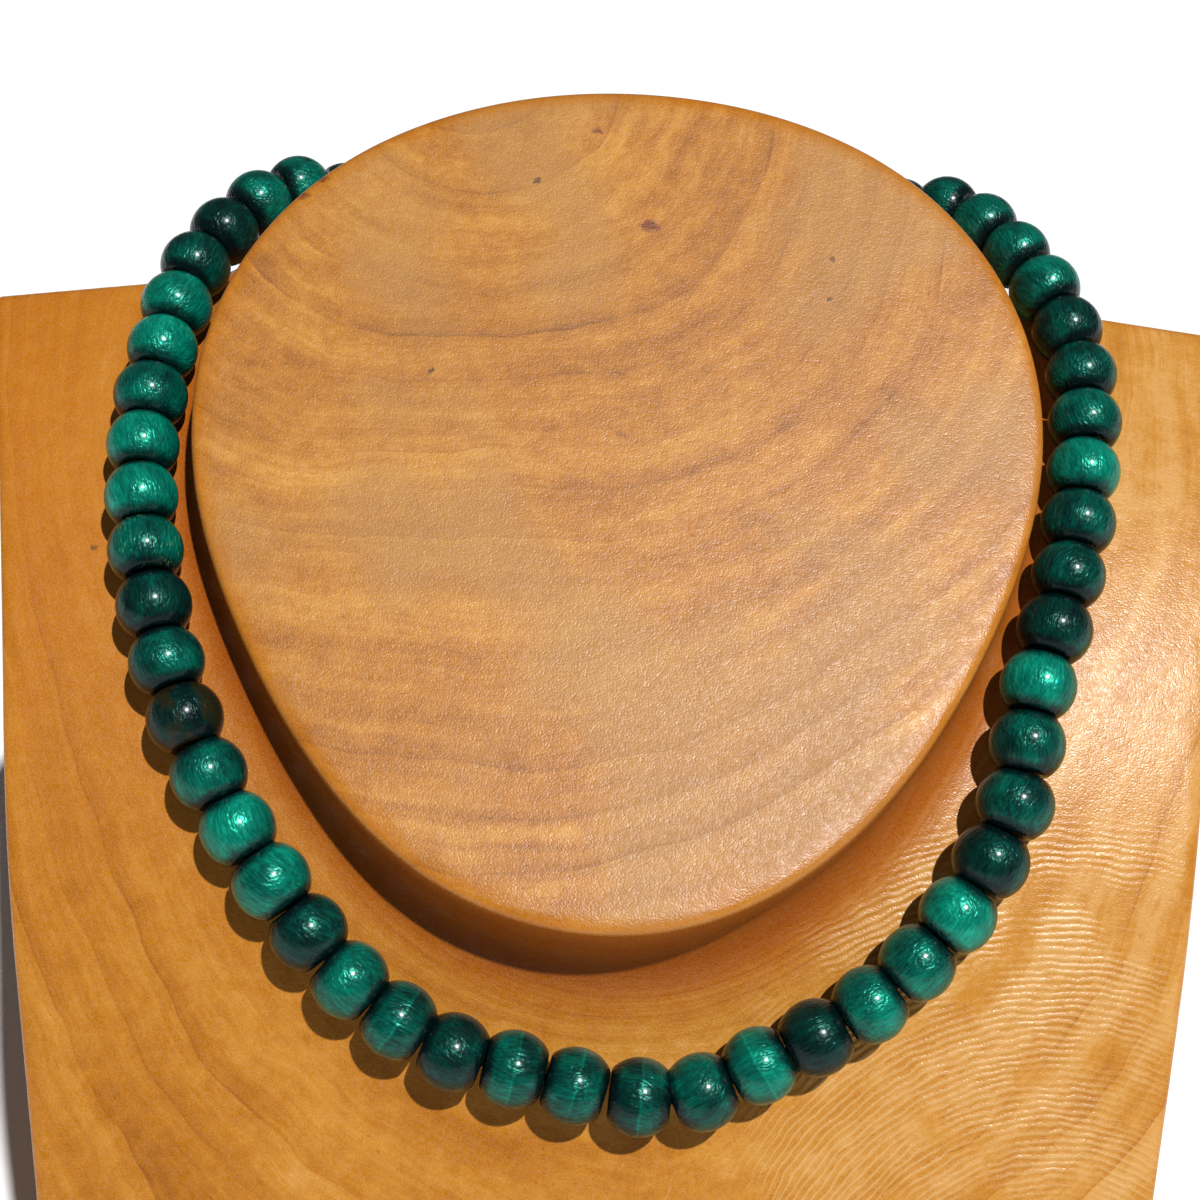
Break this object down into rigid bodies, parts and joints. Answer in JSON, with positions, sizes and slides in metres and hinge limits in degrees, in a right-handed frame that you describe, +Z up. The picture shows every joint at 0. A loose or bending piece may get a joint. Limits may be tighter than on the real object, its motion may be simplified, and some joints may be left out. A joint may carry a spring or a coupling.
{
  "type": "beaded necklace on a wooden neck bust",
  "caption": "Single-strand necklace of lacquered wooden rondelle beads with a barrel clasp, lying round a carved wooden neck bust that leans back on a flat base.",
  "frame": {"origin": "on the surface the bust stands on, under the middle of the whole object's box", "axes": "+X to the right of the picture, +Y to the back of the bust, +Z up"},
  "size_m": [0.1806, 0.194, 0.1797],
  "materials": {
    "lacquered_bead_wood": "dyed emerald green and lacquered, streaky grain, glossy",
    "carved_bust_wood": "honey brown close-grained wood, hand carved and rubbed to a soft sheen",
    "clasp_brass": "plain polished brass"
  },
  "bodies": {
    "root": {"bead_string_left": "lacquered_bead_wood", "bead_string_right": "lacquered_bead_wood", "barrel_clasp": "clasp_brass", "neck_bust": "carved_bust_wood"}
  },
  "joints": []
}
